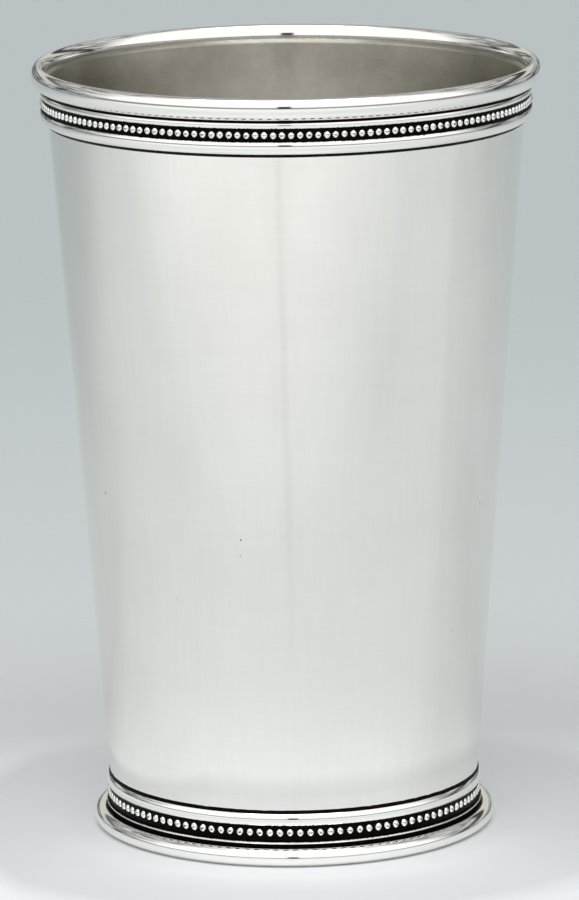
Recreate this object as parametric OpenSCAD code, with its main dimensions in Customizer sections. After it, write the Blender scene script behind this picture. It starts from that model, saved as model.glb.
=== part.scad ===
// Julep cup in silver: a tapered wall with a let-in floor, an oval lip wire, and a beaded border
// strip with its own half-round moulding at the rim and at the foot. Lengths are in millimetres.
// The origin is on the ground, under the middle of the foot. +Z points up through the mouth.

/* [Wall and floor] */
// Overall height of the cup
cup_h = 130; // [120:0.1:140]
// Outside diameter of the wall at the top of the foot border
wall_foot_d = 62.6; // [60:0.1:66]
// Outside diameter of the wall at the lower edge of the rim border
wall_rim_d = 79.4; // [76:0.1:84]
// Thickness of the wall
wall_t = 0.7; // [0.5:0.05:1]
// Height of the wall's lower edge above the ground
wall_lift = 0.4; // [0.2:0.1:1]
// Thickness of the floor
floor_t = 0.9; // [0.6:0.1:1.5]
// Height of the floor's underside above the ground
floor_lift = 3; // [2:0.1:5]

/* [Lip] */
// Height of the oval lip wire
lip_h = 4; // [3.6:0.1:4.6]
// Width of the oval lip wire
lip_w = 2.4; // [2:0.1:2.8]
// Height over which the wall turns outward into the lip
mouth_h = 2; // [1.2:0.1:2.2]
// How far the wall turns outward there
mouth_out = 0.7; // [0.4:0.1:1]

/* [Rim border] */
// Open joint between the lip wire and the border strip
rim_gap = 0.45; // [0.2:0.05:0.7]
// Height of the plain rib above the beads
rim_rib_h = 0.85; // [0.5:0.05:1.2]
// Height of the sunk channel that holds the beads
rim_channel_h = 2.1; // [1.6:0.05:2.6]
// Height of the half-round moulding below the beads
rim_round_h = 2.4; // [1.8:0.05:3]
// How far the half-round's fullest line lies from the channel
rim_round_full = 0.75; // [0.4:0.05:1.2]
// How far the half-round draws in to its lower edge
rim_round_in = 0.95; // [0.5:0.05:1.2]
// How far the half-round's lower edge stands out from the wall
rim_edge_out = 0.5; // [0.3:0.05:0.8]
// How far the rib stands out from the wall
rim_strip_t = 1.2; // [1:0.05:1.6]
// Depth of the channel
rim_channel_deep = 0.45; // [0.3:0.05:0.6]
// Depth of the groove between the lip wire and the rib
rim_groove_deep = 0.5; // [0.3:0.05:0.7]
// Spacing of the rim beads around the channel floor
rim_bead_pitch = 1.445; // [1.3:0.005:2]

/* [Foot border] */
// Diameter of the round foot wire
foot_wire_d = 3; // [2.4:0.1:3.6]
// How far the foot wire stands out from the wall at the ground
foot_out = 3.4; // [3:0.1:3.8]
// Height of the foot wire's flat back, which is soldered to the wall
foot_web_h = 1.9; // [1.2:0.1:2.2]
// Open groove between the foot wire and the border strip
foot_gap = 0.55; // [0.3:0.05:0.8]
// Height of the plain rib below the beads
foot_rib_h = 0.4; // [0.3:0.05:0.8]
// Height of the sunk channel that holds the beads
foot_channel_h = 2.75; // [1.8:0.05:3.2]
// Height of the half-round moulding above the beads
foot_round_h = 1.9; // [1.5:0.05:2.4]
// How far the half-round's fullest line lies from the channel
foot_round_full = 0.85; // [0.4:0.05:1.2]
// How far the half-round draws in to its upper edge
foot_round_in = 0.4; // [0.25:0.05:0.5]
// How far the half-round's upper edge stands out from the wall
foot_edge_out = 0.21; // [0.15:0.01:0.4]
// How far the rib stands out from the wall
foot_strip_t = 0.85; // [0.8:0.05:1.2]
// Depth of the channel
foot_channel_deep = 0.5; // [0.3:0.05:0.6]
// Depth of the groove between the foot wire and the rib
foot_groove_deep = 0.55; // [0.3:0.05:0.6]
// Spacing of the foot beads around the channel floor
foot_bead_pitch = 1.69; // [1.3:0.005:2]

/* [Beads] */
// Diameter of a bead
bead_d = 1.05; // [0.8:0.05:1.2]
// How far a bead stands out of the channel floor
bead_proud = 0.48; // [0.3:0.01:0.55]
// How far the row of beads lies from the middle of its channel, towards the half-round
bead_shift = 0.1; // [0:0.05:0.2]

/* [Solder] */
// Height of the solder line along a half-round's outer edge
solder_line_h = 0.35; // [0.2:0.05:0.5]
// Width and height of the solder fillet under the floor
floor_solder_leg = 0.7; // [0.4:0.1:1]

/* [Hidden] */

// Smoothness of round forms
$fn = 96;
// Smoothness of a bead
bead_fn = 16;
// How far a cutting shape runs past what it cuts
overrun = 1;
// Crown radius of a rib's face, over the rib's height
rib_crown_share = 0.8;

// Colours of the finishes
polished_silver = [0.92, 0.92, 0.9];
satin_silver = [0.56, 0.54, 0.49];
dark_silver = [0.16, 0.15, 0.14];

// Levels above the ground
foot_strip_bottom = foot_wire_d + foot_gap;
foot_strip_top = foot_strip_bottom + foot_rib_h + foot_channel_h + foot_round_h;
foot_bead_z = foot_strip_bottom + foot_rib_h + foot_channel_h / 2 + bead_shift;
lip_mid = cup_h - lip_h / 2;
mouth_base = lip_mid - mouth_h;
rim_strip_top = cup_h - lip_h - rim_gap;
rim_strip_bottom = rim_strip_top - rim_rib_h - rim_channel_h - rim_round_h;
rim_bead_z = rim_strip_top - rim_rib_h - rim_channel_h / 2 - bead_shift;
floor_top = floor_lift + floor_t;

// Outside radius of the wall at a height, on its straight taper
wall_rise = rim_strip_bottom - foot_strip_top;
wall_taper_share = (wall_rim_d - wall_foot_d) / 2 / wall_rise;
function wall_r(z) = wall_foot_d / 2 + (z - foot_strip_top) * wall_taper_share;

// Radii of the mouth and the wires, and of what stands out in each border
mouth_r = wall_r(mouth_base) - wall_t + mouth_out;
lip_r = mouth_r + lip_w / 2;
rim_edge_r = wall_r(rim_strip_bottom) + rim_edge_out;
rim_rib_r = wall_r(rim_bead_z) + rim_strip_t;
rim_floor_r = rim_rib_r - rim_channel_deep;
rim_bead_r = rim_floor_r + bead_proud - bead_d / 2;
foot_edge_r = wall_r(foot_strip_top) + foot_edge_out;
foot_rib_r = wall_r(foot_bead_z) + foot_strip_t;
foot_floor_r = foot_rib_r - foot_channel_deep;
foot_bead_r = foot_floor_r + bead_proud - bead_d / 2;
foot_wire_r = wall_r(0) + foot_out - foot_wire_d / 2;

// Number of beads that go round a channel floor at their spacing
rim_bead_count = round(2 * PI * rim_floor_r / rim_bead_pitch);
foot_bead_count = round(2 * PI * foot_floor_r / foot_bead_pitch);

// Half of the wall's cross-section
module wall_section() {
    polygon([
        [wall_r(wall_lift) - wall_t, wall_lift],
        [wall_r(wall_lift), wall_lift],
        [wall_r(mouth_base), mouth_base],
        [mouth_r + wall_t, lip_mid],
        [mouth_r, lip_mid],
        [wall_r(mouth_base) - wall_t, mouth_base]
    ]);
}

// All that the wall encloses and is, which every piece outside it is cut back to
module wall_blank_section() {
    polygon([
        [0, -overrun],
        [wall_r(-overrun), -overrun],
        [wall_r(mouth_base), mouth_base],
        [mouth_r + wall_t, lip_mid],
        [0, lip_mid]
    ]);
}

// Oval of the lip wire
module lip_section() {
    translate([lip_r, lip_mid])
        scale([lip_w / lip_h, 1])
            circle(d = lip_h);
}

// Round of the foot wire
module foot_wire_section() {
    translate([foot_wire_r, foot_wire_d / 2])
        circle(d = foot_wire_d);
}

// Border strip with its rib's edge at zero and its half-round's edge on top
module strip_section(rib_r, rib_h, floor_r, channel_h, edge_r, round_h, round_full, round_in) {
    crown_r = rib_h * rib_crown_share;
    round_z = rib_h + channel_h;
    draw_h = round_h - round_full;
    round_r = (draw_h * draw_h + round_in * round_in) / (2 * round_in);
    face_r = edge_r + round_in;
    square([floor_r, round_z]);
    square([rib_r - crown_r, rib_h]);
    intersection() {
        square([rib_r, rib_h]);
        translate([rib_r - crown_r, rib_h / 2])
            circle(r = crown_r);
    }
    translate([0, round_z])
        square([face_r - round_r, round_h]);
    intersection() {
        translate([0, round_z])
            square([face_r, round_h]);
        translate([face_r - round_r, round_z + round_full])
            circle(r = round_r);
    }
}

module rim_strip_section() {
    translate([0, rim_strip_top])
        mirror([0, 1])
            strip_section(rim_rib_r, rim_rib_h, rim_floor_r, rim_channel_h,
                          rim_edge_r, rim_round_h, rim_round_full, rim_round_in);
}

module foot_strip_section() {
    translate([0, foot_strip_bottom])
        strip_section(foot_rib_r, foot_rib_h, foot_floor_r, foot_channel_h,
                      foot_edge_r, foot_round_h, foot_round_full, foot_round_in);
}

// Row of beads at a radius and a height
module bead_row(count, row_r, row_z) {
    for (i = [0 : count - 1])
        rotate([0, 0, 360 * i / count])
            translate([row_r, 0, row_z])
                sphere(d = bead_d, $fn = bead_fn);
}

// Solder line from a half-round's edge back to the wall, above it or below it
module solder_line(edge_r, edge_z, rise) {
    rotate_extrude()
        polygon([
            [wall_r(edge_z), edge_z],
            [edge_r, edge_z],
            [wall_r(edge_z + rise), edge_z + rise]
        ]);
}

module cup_wall() {
    color(polished_silver)
        rotate_extrude()
            wall_section();
}

module cup_floor() {
    color(satin_silver)
        rotate_extrude()
            polygon([
                [0, floor_lift],
                [wall_r(floor_lift) - wall_t, floor_lift],
                [wall_r(floor_top) - wall_t, floor_top],
                [0, floor_top]
            ]);
}

module floor_solder() {
    inner_r = wall_r(floor_lift) - wall_t;
    fillet_z = floor_lift - floor_solder_leg;
    color(satin_silver)
        rotate_extrude()
            polygon([
                [inner_r, floor_lift],
                [inner_r - floor_solder_leg, floor_lift],
                [wall_r(fillet_z) - wall_t, fillet_z]
            ]);
}

module rim_lip() {
    color(polished_silver)
        rotate_extrude()
            difference() {
                lip_section();
                wall_blank_section();
            }
}

module rim_lip_solder() {
    color(dark_silver)
        rotate_extrude()
            difference() {
                translate([0, rim_strip_top])
                    square([rim_rib_r - rim_groove_deep, lip_mid - rim_strip_top]);
                lip_section();
                wall_blank_section();
            }
}

module rim_bead_band() {
    color(polished_silver)
        difference() {
            union() {
                rotate_extrude()
                    rim_strip_section();
                bead_row(rim_bead_count, rim_bead_r, rim_bead_z);
            }
            rotate_extrude()
                wall_blank_section();
        }
}

module rim_band_solder() {
    color(dark_silver)
        solder_line(rim_edge_r, rim_strip_bottom, -solder_line_h);
}

module foot_bead_band() {
    color(polished_silver)
        difference() {
            union() {
                rotate_extrude()
                    foot_strip_section();
                bead_row(foot_bead_count, foot_bead_r, foot_bead_z);
            }
            rotate_extrude()
                wall_blank_section();
        }
}

module foot_band_solder() {
    color(dark_silver)
        solder_line(foot_edge_r, foot_strip_top, solder_line_h);
}

module foot_ring() {
    color(polished_silver)
        rotate_extrude()
            difference() {
                union() {
                    foot_wire_section();
                    square([foot_wire_r, foot_web_h]);
                }
                wall_blank_section();
            }
}

module foot_ring_solder() {
    color(dark_silver)
        rotate_extrude()
            difference() {
                translate([0, foot_web_h])
                    square([foot_rib_r - foot_groove_deep, foot_strip_bottom - foot_web_h]);
                foot_wire_section();
                wall_blank_section();
            }
}

cup_wall();
cup_floor();
floor_solder();
rim_lip();
rim_lip_solder();
rim_bead_band();
rim_band_solder();
foot_bead_band();
foot_band_solder();
foot_ring();
foot_ring_solder();
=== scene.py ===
"""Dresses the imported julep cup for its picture: turned meshes for the wall, lip and foot, two rolled borders
with their rows of beads, dark solder in the joints, silver finishes, and a plain pale stage.

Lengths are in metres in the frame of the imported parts: the origin is on the ground under the middle of the
foot, +Z points up through the mouth, and the camera looks along +Y.
"""
import math
import random
from dataclasses import dataclass
from functools import reduce

import bmesh
import bpy
import numpy as np
from mathutils import Matrix, Vector, noise


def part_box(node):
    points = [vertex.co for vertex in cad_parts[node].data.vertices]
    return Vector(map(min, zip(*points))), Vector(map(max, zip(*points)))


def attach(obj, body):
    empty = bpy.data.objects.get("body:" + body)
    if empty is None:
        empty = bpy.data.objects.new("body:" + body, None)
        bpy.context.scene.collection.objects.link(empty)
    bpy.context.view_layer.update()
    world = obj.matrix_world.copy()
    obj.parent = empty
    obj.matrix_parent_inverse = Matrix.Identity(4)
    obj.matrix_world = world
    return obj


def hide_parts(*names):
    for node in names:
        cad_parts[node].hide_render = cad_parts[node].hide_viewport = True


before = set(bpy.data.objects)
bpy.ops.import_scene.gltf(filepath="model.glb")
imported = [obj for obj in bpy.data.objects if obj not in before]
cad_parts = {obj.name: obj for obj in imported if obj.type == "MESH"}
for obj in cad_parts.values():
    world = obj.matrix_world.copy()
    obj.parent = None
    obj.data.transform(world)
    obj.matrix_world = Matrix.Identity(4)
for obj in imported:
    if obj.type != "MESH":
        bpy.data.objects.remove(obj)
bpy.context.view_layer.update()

bl_info = {
    "name": "Julep cup",
    "version": (1, 0, 0),
    "blender": (4, 5, 0),
    "location": "3D View > Sidebar > Julep Cup",
    "description": "Builds the fine meshes and silver finishes of a beaded julep cup round its packed parts",
    "category": "Object",
}

MM = 0.001
TINY = 1e-9
BODY = "root"
NODES = (
    "cup_wall",
    "cup_floor",
    "floor_solder",
    "rim_lip",
    "rim_lip_solder",
    "rim_bead_band",
    "rim_band_solder",
    "foot_bead_band",
    "foot_band_solder",
    "foot_ring",
    "foot_ring_solder",
)
BOXES = {node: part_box(node) for node in NODES}


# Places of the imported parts, which every mesh here is fitted to

def top_of(node):
    """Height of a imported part's highest point."""
    return BOXES[node][1].z


def bottom_of(node):
    """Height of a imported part's lowest point."""
    return BOXES[node][0].z


def reach_of(node):
    """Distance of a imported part's outermost point from the cup's axis."""
    return BOXES[node][1].x


# Sizes and colours that a user would change

class WallSettings(bpy.types.PropertyGroup):
    """Sizes and finish of the cup's wall."""

    foot_diameter: bpy.props.FloatProperty(
        name="Foot Diameter", default=62.6 * MM, unit="LENGTH",
        description="Outside diameter of the wall at the top of the foot border",
    )
    rim_diameter: bpy.props.FloatProperty(
        name="Rim Diameter", default=79.4 * MM, unit="LENGTH",
        description="Outside diameter of the wall at the lower edge of the rim border",
    )
    thickness: bpy.props.FloatProperty(
        name="Thickness", default=0.7 * MM, unit="LENGTH",
        description="Thickness of the sheet",
    )
    flare_height: bpy.props.FloatProperty(
        name="Flare Height", default=2.0 * MM, unit="LENGTH",
        description="Height over which the wall turns outward under the lip",
    )
    inner_turn: bpy.props.FloatProperty(
        name="Inner Turn", default=0.5 * MM, unit="LENGTH",
        description="Height over which the inner face turns outward under the lip",
    )
    unevenness: bpy.props.FloatProperty(
        name="Unevenness", default=0.02 * MM, unit="LENGTH",
        description="How far the hammered and planished wall strays from a true cone",
    )
    silver: bpy.props.FloatVectorProperty(
        name="Silver", subtype="COLOR", size=3, default=(0.915, 0.91, 0.878),
        description="Colour of the wall's silver, which is dulled by handling",
    )
    inside: bpy.props.FloatVectorProperty(
        name="Inside", subtype="COLOR", size=3, default=(0.62, 0.60, 0.54),
        description="Colour of the unpolished silver inside the cup",
    )


class BorderSettings(bpy.types.PropertyGroup):
    """Sizes of the lip, the beaded borders and the foot wire."""

    lip_width: bpy.props.FloatProperty(
        name="Lip Width", default=2.4 * MM, unit="LENGTH",
        description="Width of the oval lip wire",
    )
    under_width: bpy.props.FloatProperty(
        name="Underside Width", default=3.3 * MM, unit="LENGTH",
        description="Half the width of the oval that rounds the lip wire's underside",
    )
    under_height: bpy.props.FloatProperty(
        name="Underside Height", default=2.46 * MM, unit="LENGTH",
        description="Half the height of the oval that rounds the lip wire's underside",
    )
    lip_sway: bpy.props.FloatProperty(
        name="Lip Sway", default=0.39 * MM, unit="LENGTH",
        description="How far the top of the lip rises at the back and sinks at the front",
    )
    lip_seat: bpy.props.FloatProperty(
        name="Lip Seat", default=0.5 * MM, unit="LENGTH",
        description="Height to which the solder rises inside the lip, above the wall's upper edge",
    )
    rim_bead_width: bpy.props.FloatProperty(
        name="Rim Bead Width", default=1.12 * MM, unit="LENGTH",
        description="Width of a bead along the rim border",
    )
    foot_bead_width: bpy.props.FloatProperty(
        name="Foot Bead Width", default=1.17 * MM, unit="LENGTH",
        description="Width of a bead along the foot border",
    )
    rim_bead_height: bpy.props.FloatProperty(
        name="Rim Bead Height", default=1.31 * MM, unit="LENGTH",
        description="Height of a bead across the rim border",
    )
    foot_bead_height: bpy.props.FloatProperty(
        name="Foot Bead Height", default=1.42 * MM, unit="LENGTH",
        description="Height of a bead across the foot border",
    )
    bead_rise: bpy.props.FloatProperty(
        name="Bead Rise", default=0.4 * MM, unit="LENGTH",
        description="How far a bead stands out of its channel",
    )
    rim_beads: bpy.props.IntProperty(
        name="Rim Beads", default=177, min=12,
        description="Number of beads round the rim",
    )
    foot_beads: bpy.props.IntProperty(
        name="Foot Beads", default=117, min=12,
        description="Number of beads round the foot",
    )
    rim_turn: bpy.props.FloatProperty(
        name="Rim Turn", default=math.radians(1.0), subtype="ANGLE",
        description="How far a rim bead lies to the right of the cup's front",
    )
    foot_turn: bpy.props.FloatProperty(
        name="Foot Turn", default=math.radians(-1.39), subtype="ANGLE",
        description="How far a foot bead lies to the right of the cup's front",
    )
    foot_wire: bpy.props.FloatProperty(
        name="Foot Wire", default=top_of("foot_ring"), unit="LENGTH",
        description="Diameter of the round foot wire",
    )
    silver: bpy.props.FloatVectorProperty(
        name="Silver", subtype="COLOR", size=3, default=(0.99, 0.985, 0.955),
        description="Colour of the bright silver of the lip, the borders and the foot wire",
    )
    hollow: bpy.props.FloatVectorProperty(
        name="Hollows", subtype="COLOR", size=3, default=(0.006, 0.0055, 0.005),
        description="Colour of the darkened silver in the hollows",
    )


class StageSettings(bpy.types.PropertyGroup):
    """The floor, the light tent and the camera."""

    floor_size: bpy.props.FloatProperty(
        name="Floor Size", default=12.0, unit="LENGTH",
        description="Width of the floor",
    )
    # The floor's front, middle and back colours grade the paper as painted light falloff, bright in front and
    # dim behind
    floor_front: bpy.props.FloatVectorProperty(
        name="Floor Front", subtype="COLOR", size=3, default=(0.93, 0.935, 0.93),
        description="Colour of the paper in front of the cup",
    )
    floor_middle: bpy.props.FloatVectorProperty(
        name="Floor Middle", subtype="COLOR", size=3, default=(0.675, 0.70, 0.708),
        description="Colour of the paper beside the cup",
    )
    floor_back: bpy.props.FloatVectorProperty(
        name="Floor Back", subtype="COLOR", size=3, default=(0.553, 0.611, 0.63),
        description="Colour of the paper behind the cup",
    )
    floor_glow: bpy.props.FloatProperty(
        name="Floor Glow", default=0.24,
        description="Share by which the light thrown back by the cup brightens the paper round its foot",
    )
    floor_pool: bpy.props.FloatProperty(
        name="Floor Pool", default=0.26,
        description="Share by which the pool of light in front of the cup brightens the paper",
    )
    tent: bpy.props.FloatVectorProperty(
        name="Tent", subtype="COLOR", size=3, default=(1.0, 1.0, 1.0),
        description="Colour of the white tent in front of the cup and above it",
    )
    tent_light: bpy.props.FloatProperty(
        name="Tent Light", default=1.08,
        description="Brightness of the white tent",
    )
    backdrop: bpy.props.FloatVectorProperty(
        name="Backdrop", subtype="COLOR", size=3, default=(0.56, 0.555, 0.50),
        description="Colour of the backdrop behind the cup",
    )
    tent_edge: bpy.props.FloatVectorProperty(
        name="Tent Edge", subtype="COLOR", size=3, default=(0.25, 0.25, 0.25),
        description="Colour of the grey line where the tent meets the floor",
    )
    tent_gap: bpy.props.FloatVectorProperty(
        name="Tent Gap", subtype="COLOR", size=3, default=(0.05, 0.05, 0.05),
        description="Colour of the dark room seen between the tent and the backdrop",
    )
    lens: bpy.props.FloatProperty(
        name="Lens", default=247.5,
        description="Focal length of the camera on a 36 mm sensor, in millimetres",
    )
    camera_distance: bpy.props.FloatProperty(
        name="Camera Distance", default=1.022, unit="LENGTH",
        description="Distance of the camera from the cup's axis, over the ground",
    )
    camera_aside: bpy.props.FloatProperty(
        name="Camera Aside", default=-0.13 * MM, unit="LENGTH",
        description="How far the camera stands to the right of the cup's axis",
    )
    camera_height: bpy.props.FloatProperty(
        name="Camera Height", default=0.2755, unit="LENGTH",
        description="Height of the camera above the ground",
    )
    camera_pitch: bpy.props.FloatProperty(
        name="Camera Pitch", default=math.radians(11.71), subtype="ANGLE",
        description="How far the camera looks down",
    )
    camera_roll: bpy.props.FloatProperty(
        name="Camera Roll", default=math.radians(0.66), subtype="ANGLE",
        description="How far the camera leans to its right, which leans the cup to the left",
    )


class CupSettings(bpy.types.PropertyGroup):
    """Everything the panel shows."""

    wall: bpy.props.PointerProperty(
        name="Wall", type=WallSettings,
        description="The cup's wall",
    )
    border: bpy.props.PointerProperty(
        name="Border", type=BorderSettings,
        description="Lip, borders and foot wire",
    )
    stage: bpy.props.PointerProperty(
        name="Stage", type=StageSettings,
        description="Floor, tent and camera",
    )


# Outlines, as points of (distance from the axis, height)

def arc(centre, half_width, half_height, start, end, steps):
    """Points on an oval round a centre, from one angle to another, with 0 degrees pointing outward."""
    angles = np.radians(np.linspace(start, end, steps + 1))
    return [
        (centre[0] + half_width * math.cos(a), centre[1] + half_height * math.sin(a))
        for a in angles
    ]


def eased(outline, radius, least_turn=30.0, most_share=0.4, steps=3):
    """The closed outline with its sharp corners rounded off by a radius, or by a share of a short side."""
    points = [Vector(p) for p in outline]
    result = []
    for i, corner in enumerate(points):
        before = points[i - 1] - corner
        after = points[(i + 1) % len(points)] - corner
        turn = 180.0 - math.degrees(before.angle(after))
        if turn < least_turn:
            result.append(tuple(corner))
            continue
        cut = min(radius, most_share * before.length, most_share * after.length)
        start = corner + before.normalized() * cut
        end = corner + after.normalized() * cut
        for k in range(steps + 1):
            t = k / steps
            result.append(tuple(start.lerp(corner, t).lerp(corner.lerp(end, t), t)))
    return result


def wall_radius(settings, height):
    """Outside radius of the wall's straight taper at a height."""
    foot_height = top_of("foot_bead_band")
    rim_height = bottom_of("rim_bead_band")
    share = (height - foot_height) / (rim_height - foot_height)
    return (settings.foot_diameter + share * (settings.rim_diameter - settings.foot_diameter)) / 2


def mouth_radius(settings, height):
    """Outside radius of the wall at a height, with the flare under the lip."""
    top = top_of("cup_wall")
    flare_base = top - settings.flare_height
    radius = wall_radius(settings, height)
    if height <= flare_base:
        return radius
    share = (height - flare_base) / settings.flare_height
    return radius + share * (reach_of("cup_wall") - wall_radius(settings, top))


INNER_TURN_POWER = 1.5


def inner_radius(settings, height):
    """Inside radius of the wall at a height, with the shorter turn that its inner face has."""
    top = top_of("cup_wall")
    share = max(0.0, 1.0 - (top - height) / settings.inner_turn)
    flare = reach_of("cup_wall") - wall_radius(settings, top)
    return wall_radius(settings, height) - settings.thickness + share ** INNER_TURN_POWER * flare


def lip_underside(cup, end, steps):
    """Points on the lip wire's rounded underside, from the wall out to an angle."""
    border = cup.border
    centre = (reach_of("rim_lip") - border.under_width, top_of("cup_wall"))
    under = arc(centre, border.under_width, border.under_height, -90.0, end, steps)
    free = [(r, z) for r, z in under if r > mouth_radius(cup.wall, z)]
    return [(mouth_radius(cup.wall, free[0][1]), free[0][1])] + free


def lip_sway(border):
    """The lift of a place on the lip: up at the back and down at the front, more so towards its top."""
    middle = top_of("cup_wall")
    half_height = top_of("rim_lip") - middle

    def lift(angle, height):
        return max(0.0, height - middle) / half_height * border.lip_sway * math.sin(angle)

    return lift


# Meshes

MERGE_DISTANCE = 1e-7
SHARP_TURN = math.radians(38)
ROUND_COLUMNS = 360
FLOOR_COLUMNS = 192
LINE_COLUMNS = 720


def turned(name, outline, columns, hollows=None, stray=None, lift=None):
    """A closed outline turned round the cup's axis, as a mesh object whose faces look outward.

    hollows gives each point of the outline its share of tarnish, stray(angle, height) moves a vertex away
    from the axis, and lift(angle, height) moves it up.
    """
    rings = []
    vertices = []
    shares = []
    for i, (radius, height) in enumerate(outline):
        share = hollows[i] if hollows else 0.0
        if radius < TINY:
            rings.append([len(vertices)] * columns)
            vertices.append((0.0, 0.0, height))
            shares.append(share)
            continue
        rings.append(list(range(len(vertices), len(vertices) + columns)))
        for j in range(columns):
            angle = math.tau * j / columns
            r = radius + (stray(angle, height) if stray else 0.0)
            z = height + (lift(angle, height) if lift else 0.0)
            vertices.append((r * math.cos(angle), r * math.sin(angle), z))
            shares.append(share)
    faces = []
    for lower, upper in zip(rings, rings[1:] + rings[:1]):
        for j in range(columns):
            k = (j + 1) % columns
            corners = list(dict.fromkeys((lower[j], lower[k], upper[k], upper[j])))
            if len(corners) > 2:
                faces.append(corners)
    return finished_mesh(name, vertices, faces, shares)


def finished_mesh(name, vertices, faces, shares):
    """A mesh object with its doubles merged, its faces turned outward and its smooth parts shaded smooth."""
    mesh = bpy.data.meshes.new(name)
    mesh.from_pydata(vertices, [], faces)
    hollow = mesh.attributes.new("hollow", "FLOAT", "POINT")
    hollow.data.foreach_set("value", np.array(shares, np.float32))
    work = bmesh.new()
    work.from_mesh(mesh)
    bmesh.ops.remove_doubles(work, verts=work.verts, dist=MERGE_DISTANCE)
    bmesh.ops.recalc_face_normals(work, faces=work.faces)
    work.to_mesh(mesh)
    work.free()
    mesh.shade_smooth()
    mesh.set_sharp_from_angle(angle=SHARP_TURN)
    piece = bpy.data.objects.new(name, mesh)
    bpy.context.scene.collection.objects.link(piece)
    return piece


def place(piece, nodes, slot, *materials):
    """Gives a piece its materials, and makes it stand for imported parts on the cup's one body."""
    for material in materials:
        piece.data.materials.append(material)
    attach(piece, BODY)
    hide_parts(*nodes)
    return piece


# Finishes
#
# A ramp is (where it starts, where it ends), with what it gives at the two where that isn't 0 and 1.

@dataclass(frozen=True)
class Grain:
    """Cloudy noise of so many waves a metre, one number for all axes or one for each."""

    waves: object
    detail: float = 3.0
    roughness: float = 0.5


NOISE_RANGE = (0.3, 0.7)


class NodeBench:
    """Adds nodes to one node tree and joins them."""

    def __init__(self, tree):
        self.tree = tree

    def add(self, kind, inputs=None, **settings):
        """A new node with its settings made and its inputs set or linked."""
        node = self.tree.nodes.new(kind)
        for key, value in settings.items():
            setattr(node, key, value)
        for key, value in (inputs or {}).items():
            self.feed(node.inputs[key], value)
        return node

    def feed(self, socket, value):
        """Links a socket to another, or sets its value."""
        if isinstance(value, bpy.types.NodeSocket):
            self.tree.links.new(value, socket)
        else:
            socket.default_value = value

    def place(self):
        """The piece's own coordinates, in metres."""
        return self.add("ShaderNodeTexCoord").outputs["Object"]

    def axes(self, vector):
        """A vector's x, y and z."""
        return self.add("ShaderNodeSeparateXYZ", {"Vector": vector}).outputs

    def grain(self, grain, vector=None):
        """Cloudy noise from 0 to 1, on the piece's own coordinates or on another vector."""
        vector = vector or self.place()
        scale = grain.waves
        if isinstance(scale, tuple):
            vector = self.add("ShaderNodeMapping", {"Vector": vector, "Scale": scale}).outputs["Vector"]
            scale = 1.0
        return self.add(
            "ShaderNodeTexNoise",
            {"Vector": vector, "Scale": scale, "Detail": grain.detail, "Roughness": grain.roughness},
        ).outputs["Fac"]

    def span(self, value, low, high, to_low=0.0, to_high=1.0):
        """A value brought from one range to another, and held there."""
        inputs = {"Value": value, "From Min": low, "From Max": high, "To Min": to_low, "To Max": to_high}
        return self.add("ShaderNodeMapRange", inputs).outputs["Result"]

    def spread(self, noise_value, to_low, to_high):
        """Noise brought to a range."""
        return self.span(noise_value, *NOISE_RANGE, to_low, to_high)

    def reckon(self, operation, first, second=0.0):
        """One sum on two values."""
        return self.add("ShaderNodeMath", {0: first, 1: second}, operation=operation).outputs[0]

    def total(self, *values):
        """All the values added."""
        return reduce(lambda a, b: self.reckon("ADD", a, b), values)

    def product(self, *values):
        """All the values multiplied."""
        return reduce(lambda a, b: self.reckon("MULTIPLY", a, b), values)

    def size_of(self, value):
        """A value without its sign."""
        return self.reckon("ABSOLUTE", value)

    def mix(self, share, first, second):
        """One number going over into another."""
        return self.add("ShaderNodeMix", {"Factor": share, "A": first, "B": second}).outputs["Result"]

    def blend(self, share, first, second):
        """One colour going over into another."""
        inputs = {"Factor": share, "A": first, "B": second}
        return self.add("ShaderNodeMix", inputs, data_type="RGBA").outputs["Result"]

    def bump(self, height, distance, normal=None):
        """A relief of a height in metres."""
        inputs = {"Height": height, "Distance": distance}
        if normal is not None:
            inputs["Normal"] = normal
        return self.add("ShaderNodeBump", inputs).outputs["Normal"]


def toned(colour, tone=1.0):
    """A colour with its alpha, multiplied by one tone or by one for each of its three parts."""
    tones = tone if isinstance(tone, tuple) else (tone,) * len(colour)
    return (*(c * t for c, t in zip(colour, tones)), 1.0)


def new_material(name, metallic):
    """A new material, with the bench for its nodes and its shader."""
    material = bpy.data.materials.new(name)
    material.use_nodes = True
    shader = material.node_tree.nodes["Principled BSDF"]
    shader.inputs["Metallic"].default_value = metallic
    return material, NodeBench(material.node_tree), shader


def finish(bench, shader, colour, roughness, normal):
    """Feeds a material's shader."""
    bench.feed(shader.inputs["Base Color"], colour)
    bench.feed(shader.inputs["Roughness"], roughness)
    bench.feed(shader.inputs["Normal"], normal)


# The wall's outside: marks with their share of shade, its lowest part, and an upright dark band down its front
# that is a painted reflection
MARKS_AND_REFLECTION_SHADE = (0.10, 0.10, 0.04)
HANDLED_MARKS = (
    (Grain((1100.0, 1100.0, 18.0), 3.0, 0.6), 0.03),
    (Grain(75.0, 4.0, 0.6), 0.035),
    (Grain((70.0, 70.0, 2600.0), 2.0, 0.6), 0.02),
)
FRESH_SILVER = (0.99, 0.985, 0.955)
FRESH_HEIGHTS = (13.5 * MM, 10.5 * MM, 0.0, 0.9)
# Painted reflection: an upright dark band down the wall's front, where the silver mirrors a dark patch in
# front of the cup
STREAK_START = (30.0 * MM, 60.0 * MM)
STREAK_FRONT = (0.0, -10.0 * MM)
STREAK_DRIFT = (50.0 * MM, 115.0 * MM, 0.2 * MM, 1.4 * MM)
STREAK_CORE = (0.2 * MM, 1.0 * MM, 0.045, 0.0)
STREAK_SKIRT = (0.4 * MM, 3.4 * MM, 0.025, 0.0)


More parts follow.
